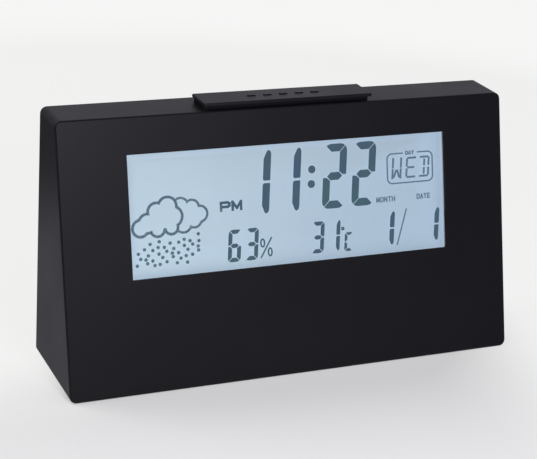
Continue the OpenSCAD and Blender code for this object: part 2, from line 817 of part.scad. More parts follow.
module lcd_segments() {
    color("#3d5a6b") at_window()
        translate([pattern_shift[0] - window_w / 2, pattern_shift[1] - window_h / 2, -rear_glass_depth])
        linear_extrude(pattern_t) pattern_shapes();
}

// Main board and what it carries

module main_board() {
    color("#2f6b3c") on_front() difference() {
        translate([-board_w / 2, board_low, -board_back]) cube([board_w, board_h, board_t]);
        for (side = [-1, 1], s = boss_rows) translate([side * boss_x, s, -board_back - over])
            cylinder(r = small_screw[2] + hole_play, h = board_t + 2 * over);
    }
}

// Children on the back of the main board, with Z pointing away from it
module on_board(x, s) {
    on_front() translate([x, s, -board_back]) mirror([0, 0, 1]) children();
}

chip_cap_place = [-20, 4];
crystal_place = [2, 7];
capacitor_places = [for (inset = [19, 10]) [board_w / 2 - inset, -11]];
chip_rows = 2;
chip_columns = 4;
chip_place = [24, 3];
board_mid = (board_low + board_top) / 2;

module chip_cap() {
    arc_r = (chip_cap_r * chip_cap_r + chip_cap_h * chip_cap_h) / (2 * chip_cap_h);
    sweep = asin(chip_cap_r / arc_r);
    color("#18181a") on_board(chip_cap_place[0], board_mid + chip_cap_place[1]) rotate_extrude()
        polygon([[0, 0], for (i = [0 : dome_steps]) let (a = sweep * (1 - i / dome_steps))
            [arc_r * sin(a), chip_cap_h - arc_r + arc_r * cos(a)]]);
}

module crystal() {
    color("#c9ccd0") on_board(crystal_place[0], board_mid + crystal_place[1]) translate([0, 0, crystal_r])
        rotate([0, 90, 0]) {
            cylinder(r = crystal_r, h = crystal_l);
            for (side = [-1, 1]) translate([0, side * crystal_r / 2, -crystal_lead_l])
                cylinder(r = crystal_lead_r, h = crystal_lead_l + crystal_r);
        }
}

module capacitors() {
    for (place = capacitor_places) color("#23283a")
        on_board(place[0], board_mid + place[1]) difference() {
            cylinder(r = capacitor_r, h = capacitor_h);
            for (turn = [0, 90]) rotate(turn)
                translate([-capacitor_r * cross_share, -cross_w / 4, capacitor_h - cross_w / 2])
                    cube([2 * capacitor_r * cross_share, cross_w / 2, cross_w]);
        }
}

module chip_parts() {
    color("#8c7a5a") for (row = [0 : chip_rows - 1], column = [0 : chip_columns - 1])
        on_board(chip_place[0] + column * chip_pitch, board_mid + chip_place[1] + row * chip_pitch)
            translate([-chip_size[0] / 2, -chip_size[1] / 2, 0]) cube(chip_size);
}

module board_screws() {
    color("#b9bcc0") for (side = [-1, 1], s = boss_rows) on_board(side * boss_x, s) screw(small_screw);
}

// Snooze bar and its switch

module snooze_bar() {
    r = bar_round;
    ends = bar_l / 2 - r;
    color("#37373b") {
        difference() {
            union() {
                hull() for (side = [-1, 1]) {
                    for (z = [lip_z + r, bar_top - r]) {
                        translate([side * ends, front_at(z) + r / cos(lean), z]) sphere(r, $fn = hull_facets);
                        translate([side * ends, bar_back_y - r, z]) sphere(r, $fn = hull_facets);
                    }
                }
                block([-stem_half, stem_y0, bar_flange_z], [stem_half, stem_y1, lip_z + bar_t / 2]);
                block([-stem_half - bar_flange, stem_y0, bar_flange_z],
                    [stem_half + bar_flange, bar_back_y, bar_flange_z + bar_flange_t]);
                bar_marks();
            }
            block([-stem_half + stem_wall, stem_y0 + stem_wall, bar_flange_z - over],
                [stem_half - stem_wall, stem_y1 - stem_wall, lip_z]);
        }
        translate([0, snooze_y, pusher_z]) cylinder(r = pusher_r, h = lip_z - pusher_z);
        for (side = [-1, 1]) translate([side * stem_half / 2, 0, 0])
            block([-stem_wall / 2, stem_y0 + stem_wall / 2, bar_flange_z],
                [stem_wall / 2, stem_y1 - stem_wall / 2, lip_z]);
    }
}

// Raised dashes that a finger finds in the dark
module bar_marks() {
    mark_y = (front_at(bar_top) + bar_back_y) / 2;
    straight = mark_l - mark_w;
    high = bar_t / 2 + mark_t;
    for (i = [0 : mark_count - 1])
        translate([(i - (mark_count - 1) / 2) * mark_pitch, mark_y, bar_top - bar_t / 2]) {
            translate([-straight / 2, -mark_w / 2, 0]) cube([straight, mark_w, high]);
            for (side = [-1, 1]) translate([side * straight / 2, 0, 0]) cylinder(r = mark_w / 2, h = high);
        }
}

module snooze_dome() {
    top_r = pusher_r + dome_wall / 2;
    foot = dome_wall * 4 / 3;
    color("#c9c9c4") translate([0, snooze_y, snooze_board_top]) rotate_extrude() polygon([
        [dome_r - foot, 0], [dome_r, 0], [dome_r, dome_wall], [dome_r - foot / 2, dome_wall],
        [top_r, dome_h], [0, dome_h], [0, dome_h - 2 * dome_wall],
        [top_r - dome_wall, dome_h - 2 * dome_wall], [dome_r - foot, dome_wall]]);
}

module snooze_board() {
    color("#2f6b3c") difference() {
        block([-snooze_board_l / 2, snooze_y - snooze_board_d / 2, snooze_board_z],
            [snooze_board_l / 2, snooze_y + snooze_board_d / 2, snooze_board_top]);
        for (side = [-1, 1]) translate([side * snooze_post_x, snooze_y, snooze_board_z - over])
            cylinder(r = small_screw[2] + hole_play, h = small_board_t + 2 * over);
    }
}

module snooze_screws() {
    color("#b9bcc0") for (side = [-1, 1]) translate([side * snooze_post_x, snooze_y, snooze_board_z])
        mirror([0, 0, 1]) screw([small_screw[0], small_screw[1], small_screw[2], small_screw[3] - over]);
}

// Back cover

module well_outside() {
    block([-well_w / 2 - well_wall, well_floor_y - well_floor_t, well_z - well_wall],
        [well_w / 2 + well_wall, cover_in_y + cover_t / 2, well_z + well_h + well_wall]);
}

module well_inside() {
    block([-well_w / 2, well_floor_y, well_z], [well_w / 2, cover_out_y + over, well_z + well_h]);
    block([-opening_half, ledge_y, opening_z0], [opening_half, cover_out_y + over, opening_z1]);
    for (side = [-1, 1]) {
        block([side * tab_x - tab_w / 2 - fit, tab_in_y - part_gap, well_z - well_wall - over],
            [side * tab_x + tab_w / 2 + fit, ledge_y + seat_gap, well_z + over]);
    }
    // Slots for the contacts' solder tails
    for (z = cell_rows)
        block([-well_w / 2 - well_wall - over, cell_y - tail_w / 2 - fit, z - contact_t / 2 - fit],
            [-well_w / 2 + over, cell_y + tail_w / 2 + fit, z + contact_t / 2 + fit]);
}

// Children at both posts of the key board, or of the sensor board
module at_key_posts() {
    for (side = [-1, 1]) translate([side * key_post_x, 0, key_z]) children();
}

module at_sensor_posts() {
    for (side = [-1, 1]) translate([-aside_x + side * sensor_post_dx, 0, aside_z]) children();
}

// Hole through the cover
module cover_hole(x, z, r) {
    rod_y(x, cover_out_y + over, z, r, cover_t + 2 * over);
}

module vents() {
    half = (vent_l - vent_w) / 2;
    for (i = [0 : vent_count - 1]) {
        z = aside_z + (i - (vent_count - 1) / 2) * vent_pitch;
        for (side = [-1, 1]) cover_hole(-aside_x + side * half, z, vent_w / 2);
        block([-aside_x - half, cover_in_y - over, z - vent_w / 2],
            [-aside_x + half, cover_out_y + over, z + vent_w / 2]);
    }
}

module sound_grille() {
    cover_hole(aside_x, aside_z, sound_hole_r);
    for (i = [1 : sound_holes]) let (turn = 360 * i / sound_holes)
        cover_hole(aside_x + sound_ring_r * cos(turn), aside_z + sound_ring_r * sin(turn), sound_hole_r);
}

module back_cover() {
    cradle_z = (cell_rows[0] + cell_rows[1]) / 2;
    core_y = cover_in_y + cover_t / 2;
    pilot_r = small_screw[2] + screw_play;
    color("#2a2a2e") difference() {
        union() {
            block([-cover_w / 2, cover_in_y, wall + cover_gap],
                [cover_w / 2, cover_out_y, inner_top - cover_gap]);
            well_outside();
            at_key_posts() rod_y(0, core_y, 0, key_post_r, core_y - key_board_y);
            at_sensor_posts() rod_y(0, core_y, 0, sensor_post_r, core_y - sensor_y);
            rod_y(aside_x, core_y, aside_z, buzzer_r + buzzer_rim_t / 2, buzzer_rim_h + cover_t / 2);
        }
        well_inside();
        for (side = [-1, 1], z = post_rows) {
            cover_hole(side * post_x, z, cover_screw[2] + hole_play);
            rod_y(side * post_x, cover_out_y + over, z, cover_screw[0] + hole_play, counterbore_t + over);
        }
        for (i = [0 : key_count - 1]) cover_hole(key_x(i), key_z, key_r + run_gap);
        at_key_posts() rod_y(0, key_board_y + small_screw[3], 0, pilot_r, small_screw[3] + over);
        at_sensor_posts() rod_y(0, cover_in_y, 0, pilot_r, sensor_post_l + over);
        rod_y(aside_x, cover_in_y, aside_z, buzzer_r - buzzer_rim_t / 2, buzzer_rim_h + over);
        vents();
        sound_grille();
        translate([0, cover_out_y + scoop_r - scoop_t, opening_z1]) sphere(scoop_r);
    }
    // Ridge between the cells
    color("#2a2a2e") block([-well_w / 4, well_floor_y - well_floor_t / 2, cradle_z - cell_space],
        [well_w / 4, well_floor_y + cell_d / 5, cradle_z + cell_space]);
}

module cover_screws() {
    color("#b9bcc0") for (side = [-1, 1], z = post_rows)
        screw_back(side * post_x, cover_out_y - counterbore_t, z, cover_screw);
}

// Rear keys

module key_board() {
    half = key_post_x + board_edge;
    color("#2f6b3c") difference() {
        block([-half, key_board_y - small_board_t, key_z - key_board_h / 2],
            [half, key_board_y, key_z + key_board_h / 2]);
        at_key_posts() rod_y(0, key_board_y + over, 0, small_screw[2] + hole_play, small_board_t + 2 * over);
    }
}

module key_switches() {
    half = switch_w / 2;
    color("#3a3c40") for (i = [0 : key_count - 1]) translate([key_x(i), 0, key_z]) difference() {
        block([-half, key_board_y, -half], [half, switch_y, half]);
        rod_y(0, switch_y + over, 0, plunger_r + run_gap, over + plunger_sink + switch_play);
    }
}

module key_screws() {
    color("#b9bcc0") at_key_posts() translate([0, key_board_y - small_board_t, 0])
        rotate([90, 0, 0]) screw(small_screw);
}

module plunger(i) {
    color("#1c1c1e") rod_y(key_x(i), key_tip_y, key_z, plunger_r, plunger_rise + plunger_sink);
}

module key_cap(i) {
    chamfer = key_rise / 3;
    high = cover_out_y + key_rise - key_tip_y;
    color("#4a4a4f") translate([key_x(i), key_tip_y, key_z]) rotate([-90, 0, 0]) rotate_extrude() polygon([
        [0, 0], [key_r + key_flange, 0], [key_r + key_flange, key_flange_t], [key_r, key_flange_t],
        [key_r, high - chamfer], [key_r - chamfer, high], [0, high]]);
}

// Sensors and buzzer

module sensor_board() {
    color("#2f6b3c") difference() {
        block([-aside_x - sensor_board_w / 2, sensor_y - small_board_t, aside_z - sensor_board_h / 2],
            [-aside_x + sensor_board_w / 2, sensor_y, aside_z + sensor_board_h / 2]);
        at_sensor_posts() rod_y(0, sensor_y + over, 0, small_screw[2] + hole_play, small_board_t + 2 * over);
    }
}

module humidity_sensor() {
    color("#eeeeea") difference() {
        block([-aside_x - sensor_size[0] / 2, sensor_y, aside_z - sensor_size[1] / 2],
            [-aside_x + sensor_size[0] / 2, sensor_y + sensor_t, aside_z + sensor_size[1] / 2]);
        rod_y(-aside_x, sensor_y + sensor_t + over, aside_z, sensor_t / 2, sensor_t / 2 + over);
    }
}

module thermistor() {
    bead_z = aside_z + sensor_board_h / 2 - 2 * bead_r;
    color("#6b4a2a") translate([-aside_x, sensor_y + bead_r, bead_z]) rotate([0, 90, 0]) {
        translate([0, 0, -bead_l / 2]) cylinder(r = bead_r, h = bead_l);
        for (side = [-1, 1]) translate([0, 0, side * bead_l / 2]) sphere(bead_r);
    }
    color("#b9bcc0") for (side = [-1, 1]) translate([-aside_x + side * bead_l, 0, 0])
        rod_y(0, sensor_y + bead_r, bead_z, bead_lead_r, bead_r);
    color("#b9bcc0") translate([-aside_x - bead_l, sensor_y + bead_r, bead_z]) rotate([0, 90, 0])
        cylinder(r = bead_lead_r, h = 2 * bead_l);
}

module sensor_screws() {
    color("#b9bcc0") at_sensor_posts() translate([0, sensor_y - small_board_t, 0]) rotate([90, 0, 0])
        screw([small_screw[0], small_screw[1], small_screw[2], small_board_t + sensor_post_l - part_gap]);
}

module buzzer_plate() {
    color("#c9a24a") rod_y(aside_x, cover_in_y - buzzer_rim_h, aside_z, buzzer_r, buzzer_t);
}

module buzzer_ceramic() {
    color("#e6e1d6") rod_y(aside_x, cover_in_y - buzzer_rim_h - buzzer_t, aside_z, ceramic_r, buzzer_t);
}

// Battery cells and contacts

// Cell whose plus end looks towards -X
module cell(x, z) {
    color("#b98a3c") translate([x, cell_y, z]) rotate([0, 90, 0]) rotate_extrude() polygon([
        [0, 0], [nub_r, 0], [nub_r, nub_l], [cell_d / 2 - cell_bevel, nub_l],
        [cell_d / 2, nub_l + cell_bevel], [cell_d / 2, cell_l - cell_bevel],
        [cell_d / 2 - cell_bevel, cell_l], [0, cell_l]]);
}

module upper_cell() {
    cell(contact_t - well_w / 2, cell_rows[1]);
}

module lower_cell() {
    mirror([1, 0, 0]) cell(contact_t - well_w / 2, cell_rows[0]);
}

// Cone spring along X from x0, tapering towards the cell
module cone_spring(x0, z, direction) {
    steps = spring_turns * spring_facets;
    wide = cell_d * 0.34;
    narrow = cell_d * 0.2;
    reach = spring_l - seat_gap - spring_wire_r;
    points = [for (i = [0 : steps])
        let (t = i / steps, turn = 360 * spring_turns * t, r = wide + (narrow - wide) * t)
        [x0 + direction * (reach * t), cell_y + r * cos(turn), z + r * sin(turn)]];
    tube(points, spring_wire_r, [1, 0, 0]);
}

module contact_plate(x, z0, z1) {
    block([x, cell_y - contact_half, z0], [x + contact_t, cell_y + contact_half, z1]);
}

module contact_tail(z) {
    block([-well_w / 2 - well_wall - tail_l, cell_y - tail_w / 2, z - contact_t / 2],
        [-well_w / 2 + contact_t / 2, cell_y + tail_w / 2, z + contact_t / 2]);
}

module plus_contact() {
    color("#c8ccd0") {
        contact_plate(-well_w / 2, cell_rows[1] - contact_half, cell_rows[1] + contact_half);
        contact_tail(cell_rows[1]);
    }
}

module minus_contact() {
    color("#c8ccd0") {
        contact_plate(-well_w / 2, cell_rows[0] - contact_half, cell_rows[0] + contact_half);
        contact_tail(cell_rows[0]);
        cone_spring(contact_t - well_w / 2, cell_rows[0], 1);
    }
}

module bridge_contact() {
    color("#c8ccd0") {
        contact_plate(well_w / 2 - contact_t, cell_rows[0] - contact_half, cell_rows[1] + contact_half);
        cone_spring(well_w / 2 - contact_t, cell_rows[1], -1);
    }
}

module battery_door() {
    in_y = cover_out_y - door_t;
    core_y = cover_out_y - door_t / 2;
    half = opening_half - door_gap;
    foot_z = opening_z0 + door_gap;
    tongue_top = well_z + well_h - tongue_gap;
    color("#2a2a2e") {
        block([-half, in_y, foot_z], [half, cover_out_y, door_top]);
        for (side = [-1, 1]) side_prism([
            [core_y, foot_z], [core_y, foot_z + tab_rise], [tab_in_y, foot_z + tab_rise],
            [tab_in_y, opening_z0 - tab_drop], [tab_in_y + tab_t, opening_z0 - tab_drop],
            [tab_in_y + tab_t, foot_z]], tab_w, side * tab_x);
        block([-tongue_w / 2, in_y - tongue_l, tongue_top - tongue_t], [tongue_w / 2, core_y, tongue_top]);
        for (i = [0 : ridge_count - 1]) translate([0, 0, door_top - (i + 2) * ridge_pitch])
            block([-ridge_l / 2, core_y, 0], [ridge_l / 2, cover_out_y + ridge_t, ridge_w]);
    }
}

// Leads: each ends just off the main board's back

function on_back(x, s, off) = let (p = behind(s, board_back + off)) [x, p[0], p[1]];
lead_off = 0.3;
lead_reach = 4;
lead_inset = 4.5;
lead_low_s = board_low + lead_inset;

// Lead that leaves a along its direction and lands square on the board
module lead(a, out, x, s, up) {
    tube(route(a, a + out, on_back(x, s, lead_off + lead_reach), on_back(x, s, lead_off)), lead_r, up);
}

module battery_leads() {
    tail_x = -well_w / 2 - well_wall - tail_l - lead_r / 2;
    for (i = [0, 1]) color(i == 0 ? "#202020" : "#a03030")
        lead([tail_x, cell_y, cell_rows[i]], [-lead_reach / 2, 0, 0],
            tail_x - lead_reach, lead_low_s + i * lead_reach, [0, 0, 1]);
}

module key_leads() {
    start = [key_board_y - small_board_t - lead_off, key_z - key_board_h / 2 + 2 * lead_r];
    color("#d8d8d8") for (i = [0 : key_count]) {
        x = key_post_x - board_edge * 2 - i * lead_pitch;
        lead([x, start[0], start[1]], [0, -lead_reach / 4, 0],
            x, slope_at(start[1], board_back + lead_off), [1, 0, 0]);
    }
}

module snooze_leads() {
    color("#d8d8d8") for (i = [0, 1]) {
        z = snooze_board_top - 2 * lead_r;
        y = snooze_y + (1 + i * 3 / 2) * lead_pitch;
        lead([-snooze_board_l / 2 - lead_off, y, z], [-lead_reach, 0, 0],
            -snooze_board_l / 2 - lead_reach * 3 / 2 - i * lead_pitch, board_top - lead_reach, [0, 1, 0]);
    }
}

module buzzer_leads() {
    start_y = cover_in_y - buzzer_rim_h - 2 * buzzer_t - lead_off;
    color("#a03030") for (i = [0, 1]) {
        x = aside_x + i * lead_pitch * 2;
        lead([x, start_y, aside_z + ceramic_r / 2], [0, -lead_reach / 2, 0], x, lead_low_s, [1, 0, 0]);
    }
}

module sensor_leads() {
    color("#d8d8d8") for (i = [0 : 2]) {
        x = -aside_x - i * lead_pitch * 2;
        lead([x, sensor_y - small_board_t - lead_off, aside_z + sensor_board_h / 3], [0, -lead_reach / 2, 0],
            x, lead_low_s, [1, 0, 0]);
    }
}

front_case();
window_lens();
front_polarizer();
lcd_front_glass();
lcd_segments();
lcd_rear_glass();
rear_polarizer();
display_frame();
light_guide();
reflector();
backlight_leds();
contact_strip();
main_board();
chip_cap();
crystal();
capacitors();
chip_parts();
board_screws();
snooze_bar();
snooze_dome();
snooze_board();
snooze_screws();
back_cover();
cover_screws();
key_board();
key_switches();
key_screws();
key_cap(0);  // mode_key
key_cap(1);  // up_key
key_cap(2);  // down_key
key_cap(3);  // alarm_key
key_cap(4);  // unit_key
plunger(0);  // mode_plunger
plunger(1);  // up_plunger
plunger(2);  // down_plunger
plunger(3);  // alarm_plunger
plunger(4);  // unit_plunger
sensor_board();
humidity_sensor();
thermistor();
sensor_screws();
buzzer_plate();
buzzer_ceramic();
upper_cell();
lower_cell();
plus_contact();
minus_contact();
bridge_contact();
battery_door();
battery_leads();
key_leads();
snooze_leads();
buzzer_leads();
sensor_leads();
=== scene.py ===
# Digital desk clock: the camera, the light and the finish of every piece
import json
import math

import bpy
from mathutils import Matrix, Vector


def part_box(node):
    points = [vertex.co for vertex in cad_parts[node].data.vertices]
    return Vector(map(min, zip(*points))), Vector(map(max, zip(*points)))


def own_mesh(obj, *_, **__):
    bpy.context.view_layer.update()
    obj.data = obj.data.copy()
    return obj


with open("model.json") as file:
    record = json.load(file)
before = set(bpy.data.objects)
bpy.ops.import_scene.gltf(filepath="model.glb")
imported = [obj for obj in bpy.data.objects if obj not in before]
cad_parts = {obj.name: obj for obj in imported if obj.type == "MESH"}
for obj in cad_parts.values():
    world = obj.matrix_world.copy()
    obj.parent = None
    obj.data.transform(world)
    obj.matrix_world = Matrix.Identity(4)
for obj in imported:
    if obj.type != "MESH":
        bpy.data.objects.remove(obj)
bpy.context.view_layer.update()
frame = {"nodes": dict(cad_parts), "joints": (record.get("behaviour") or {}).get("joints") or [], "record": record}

nodes = frame["nodes"]


class Value:
    # A number in a shader; sums and products of it add Math nodes
    def __init__(self, graph, socket):
        self.graph = graph
        self.socket = socket

    def maths(self, operation, first, second=0):
        made = self.graph.node("ShaderNodeMath", {"operation": operation}, {0: first, 1: second})
        return Value(self.graph, made.outputs[0])

    def __add__(self, other):
        return self.maths("ADD", self, other)

    def __radd__(self, other):
        return self.maths("ADD", other, self)

    def __sub__(self, other):
        return self.maths("SUBTRACT", self, other)

    def __rsub__(self, other):
        return self.maths("SUBTRACT", other, self)

    def __mul__(self, other):
        return self.maths("MULTIPLY", self, other)

    def __rmul__(self, other):
        return self.maths("MULTIPLY", other, self)

    def power(self, exponent):
        return self.maths("POWER", self, exponent)

    def above(self, limit):
        return self.maths("GREATER_THAN", self, limit)

    def larger(self, other):
        return self.maths("MAXIMUM", self, other)

    def smaller(self, other):
        return self.maths("MINIMUM", self, other)

    def absolute(self):
        return self.maths("ABSOLUTE", self)

    def wave(self, pitch):
        # Swings between 0 and 1, once in each pitch
        return self.maths("SINE", self * (2 * math.pi / pitch)) * 0.5 + 0.5

    def ramp(self, low, high):
        # Goes smoothly from 0 at low to 1 at high
        made = self.graph.node(
            "ShaderNodeMapRange",
            {"interpolation_type": "SMOOTHSTEP"},
            {"Value": self, "From Min": low, "From Max": high},
        )
        return Value(self.graph, made.outputs[0])


class Graph:
    # The nodes of a material or of the world
    def __init__(self, tree):
        self.tree = tree
        tree.nodes.clear()

    def node(self, kind, settings=None, inputs=None):
        made = self.tree.nodes.new(kind)
        for name, setting in (settings or {}).items():
            setattr(made, name, setting)
        for name, source in (inputs or {}).items():
            self.connect(made.inputs[name], source)
        return made

    def connect(self, socket, source):
        if isinstance(source, Value):
            source = source.socket
        if isinstance(source, bpy.types.NodeSocket):
            self.tree.links.new(source, socket)
        elif socket.type == "RGBA" and len(source) == 3:
            socket.default_value = (*source, 1)
        else:
            socket.default_value = source

    def value(self, kind, settings=None, inputs=None, output=0):
        return Value(self, self.node(kind, settings, inputs).outputs[output])

    def colour(self, factor, first, second):
        made = self.node("ShaderNodeMix", {"data_type": "RGBA"}, {0: factor, 6: first, 7: second})
        return made.outputs[2]

    def vector(self, operation, first, second):
        made = self.node("ShaderNodeVectorMath", {"operation": operation}, {0: first, 1: second})
        return made.outputs["Vector"]

    def measure(self, operation, first, second):
        # A dot product or a distance
        settings = {"operation": operation}
        return self.value("ShaderNodeVectorMath", settings, {0: first, 1: second}, "Value")


class Finish(Graph):
    # One material: a Principled shader whose constants are given by name
    def __init__(self, name, constants):
        self.material = bpy.data.materials.new(name)
        self.material.use_nodes = True
        super().__init__(self.material.node_tree)
        self.shader = self.node("ShaderNodeBsdfPrincipled", {}, constants)
        self.output = self.node("ShaderNodeOutputMaterial", {}, {"Surface": self.shader.outputs[0]})
        self.place = self.node("ShaderNodeTexCoord").outputs["Object"]
        self.normal = self.node("ShaderNodeNewGeometry").outputs["Normal"]

    def drive(self, **sources):
        names = {"baseColor": "Base Color", "emission": "Emission Color"}
        for name, source in sources.items():
            self.connect(self.shader.inputs[names.get(name, name.capitalize())], source)
        return self

    def noise(self, size, detail, stretch=(1, 1, 1)):
        # size is how wide one blotch is, in metres
        scaled = self.vector("MULTIPLY", self.place, tuple(s / size for s in stretch))
        return self.value("ShaderNodeTexNoise", {}, {"Vector": scaled, "Scale": 1.0, "Detail": detail})

    def bump(self, height, depth):
        made = self.node("ShaderNodeBump", {}, {"Strength": 1.0, "Distance": depth, "Height": height})
        return made.outputs[0]

    def axes(self):
        parts = self.node("ShaderNodeSeparateXYZ", {}, {0: self.place})
        return [Value(self, parts.outputs[i]) for i in range(3)]

    def facing(self, direction):
        # How squarely the surface looks along a direction, from -1 to 1
        return self.measure("DOT_PRODUCT", self.normal, direction)

    def edges(self, radius, fade):
        # 0 on a flat face, up to 1 on an edge
        rounded = self.node("ShaderNodeBevel", {"samples": 6}, {"Radius": radius}).outputs[0]
        return (1 - self.measure("DOT_PRODUCT", rounded, self.normal)).ramp(*fade)

    def mirroring(self, straightOn):
        # How much a clear sheet mirrors: little straight on, and all of it along the surface
        slant = self.value("ShaderNodeLayerWeight", {}, {"Blend": 0.5}, "Facing")
        return slant.power(5) * (1 - straightOn) + straightOn


def shaded(colour, share):
    # The same hue, darker below 1 and lighter above it
    return tuple(min(1.0, share * c) for c in colour)


# The camera stands where the photograph was taken from
photoView = {
    "azimuth": -25.08,
    "elevation": 21.74,
    "roll": 4.24,
    "distance": 0.4893,
    "aimRight": -0.00247,
    "aimUp": 0.03591,
    "focalPixels": 1619.9,
    "imageWidth": 537,
    "sensorWidth": 36.0,
    "nearest": 0.01,
}


def addCamera(view):
    turn, lift, roll = (math.radians(view[k]) for k in ("azimuth", "elevation", "roll"))
    back = Vector((math.sin(turn) * math.cos(lift), -math.cos(turn) * math.cos(lift), math.sin(lift)))
    level = (-back).cross(Vector((0, 0, 1))).normalized()
    upright = level.cross(-back)
    right = math.cos(roll) * level + math.sin(roll) * upright
    up = -math.sin(roll) * level + math.cos(roll) * upright
    data = bpy.data.cameras.new("photoCamera")
    data.sensor_width = view["sensorWidth"]
    data.lens = view["focalPixels"] * view["sensorWidth"] / view["imageWidth"]
    data.clip_start = view["nearest"]
    camera = bpy.data.objects.new("photoCamera", data)
    bpy.context.scene.collection.objects.link(camera)
    matrix = Matrix((right, up, back)).transposed().to_4x4()
    matrix.translation = back * view["distance"] + right * view["aimRight"] + up * view["aimUp"]
    camera.matrix_world = matrix
    bpy.context.scene.camera = camera


addCamera(photoView)
bpy.context.scene.view_settings.view_transform = "Standard"
print("Camera set")


# Moulded black plastic with the fine grain of a spark-eroded tool.
# A size is how wide one blotch is, a fade is where a mask starts and where it is full,
# and a gloss is how far a mask moves the roughness.
mouldedBlack = {
    "colour": (0.0046, 0.0044, 0.0059),
    "lighter": 1.35,
    "cloudSize": 0.035,
    "cloudShare": 0.5,
    "grainSize": 0.00022,
    "grainShare": 0.15,
    "grainDepth": 0.000012,
    # Edges go lighter in patches: partly wear, partly a painted highlight that brings out the outlines
    "edgeWearAndHighlight": (0.018, 0.018, 0.021),
    "edgeWearAndHighlightShare": 0.6,
    "edgeRadius": 0.0005,
    "edgeFade": (0.02, 0.32),
    "wearSize": 0.004,
    "wearFade": (0.3, 0.75),
    "dust": (0.036, 0.035, 0.035),
    "dustShare": 0.25,
    "dustSize": 0.0011,
    "dustFade": (0.58, 0.75),
    "levelFade": (0.75, 1),
    "roughness": 0.43,
    "cloudGloss": 0.18,
    "grainGloss": 0.12,
    "wearGloss": 0.12,
    "specular": 0.15,
}


def blackPlastic(name, look):
    # The shade and the grain that the case and the snooze bar share
    finish = Finish(name, {"Specular IOR Level": look["specular"]})
    grain = finish.noise(look["grainSize"], 3)
    clouds = finish.noise(look["cloudSize"], 4)
    # The edge mask paints the edges lighter, partly wear and partly a painted highlight, and makes them glossier
    wearAndHighlight = finish.edges(look["edgeRadius"], look["edgeFade"])
    wearAndHighlight = wearAndHighlight * finish.noise(look["wearSize"], 3).ramp(*look["wearFade"])
    dust = finish.facing((0, 0, 1)).ramp(*look["levelFade"])
    dust = dust * finish.noise(look["dustSize"], 3).ramp(*look["dustFade"])
    mottling = clouds * look["cloudShare"] + grain * look["grainShare"]
    shade = finish.colour(mottling, look["colour"], shaded(look["colour"], look["lighter"]))
    shade = finish.colour(wearAndHighlight * look["edgeWearAndHighlightShare"], shade, look["edgeWearAndHighlight"])
    shade = finish.colour(dust * look["dustShare"], shade, look["dust"])
    finish.drive(baseColor=shade, normal=finish.bump(grain, look["grainDepth"]))
    return finish, grain, clouds, wearAndHighlight


def casePlastic(look):
    finish, grain, clouds, wearAndHighlight = blackPlastic("casePlastic", look)
    rough = look["roughness"] + (clouds - 0.5) * look["cloudGloss"]
    return finish.drive(roughness=rough + (grain - 0.5) * look["grainGloss"] - wearAndHighlight * look["wearGloss"])


# The snooze bar is smoother, and polished in the middle where it is pressed
snoozeLook = dict(
    mouldedBlack,
    colour=(0.0052, 0.005, 0.0066),
    grainSize=0.00018,
    roughness=0.42,
    grainGloss=0.15,
    specular=0.14,
    pressedFade=(0.0057, 0.019),
    pressedGloss=0.05,
)


def barPlastic(look):
    finish, grain, clouds, wearAndHighlight = blackPlastic("barPlastic", look)
    pressed = 1 - finish.axes()[0].absolute().ramp(*look["pressedFade"])
    rough = look["roughness"] - pressed * look["pressedGloss"]
    return finish.drive(roughness=rough + (grain - 0.5) * look["grainGloss"])


keyLook = {
    "colour": (0.05, 0.05, 0.055),
    "edgeWearAndHighlight": (0.085, 0.085, 0.09),
    "edgeWearAndHighlightShare": 0.7,
    "edgeRadius": 0.0003,
    "edgeFade": (0.025, 0.3),
    "grainSize": 0.0002,
    "grainDepth": 0.000008,
    "roughness": 0.42,
    "grainGloss": 0.2,
    "wearGloss": 0.1,
    "specular": 0.4,
}


def keyPlastic(look):
    finish = Finish("keyPlastic", {"Specular IOR Level": look["specular"]})
    # Every edge is painted lighter, a painted highlight, and made glossier
    wearAndHighlight = finish.edges(look["edgeRadius"], look["edgeFade"])
    grain = finish.noise(look["grainSize"], 3)
    rough = look["roughness"] + (grain - 0.5) * look["grainGloss"] - wearAndHighlight * look["wearGloss"]
    return finish.drive(baseColor=finish.colour(wearAndHighlight * look["edgeWearAndHighlightShare"], look["colour"], look["edgeWearAndHighlight"]),
                        roughness=rough,
                        normal=finish.bump(grain, look["grainDepth"]))


# A clear sheet shows what lies behind it and a thin reflection of its own.
# Its rim stays clear, so that it doesn't mirror the lit display beside it.
sheetLook = {
    "frontFacing": (0, -0.9636, 0.2672),
    "faceFade": (0.6, 0.9),
    "smearSize": 0.012,
    "smearStretch": (1, 1, 0.35),
    "smearShare": 0.006,
    "roughness": 0.04,
    "smearGloss": 0.05,
}
windowSheet = {"straightOn": 0.04, "haze": 0.7, "least": 0.002, "tint": (0.95, 0.97, 1.0)}
glassSheet = {"straightOn": 0.017, "haze": 0.35, "least": 0.004, "tint": (0.85, 0.93, 0.95)}
filmSheet = {"straightOn": 0.012, "haze": 0.3, "least": 0.02, "tint": (0.5, 0.56, 0.58)}


def clearSheet(name, sheet):
    finish = Finish(name, {"Base Color": sheet["tint"], "Metallic": 1.0})
    smear = finish.noise(sheetLook["smearSize"], 4, sheetLook["smearStretch"])
    face = finish.facing(sheetLook["frontFacing"]).absolute().ramp(*sheetLook["faceFade"])
    seen = finish.mirroring(sheet["straightOn"]) * sheet["haze"] + sheet["least"]
    return finish.drive(alpha=face * (seen + smear * sheetLook["smearShare"]),
                        roughness=sheetLook["roughness"] + smear * sheetLook["smearGloss"])


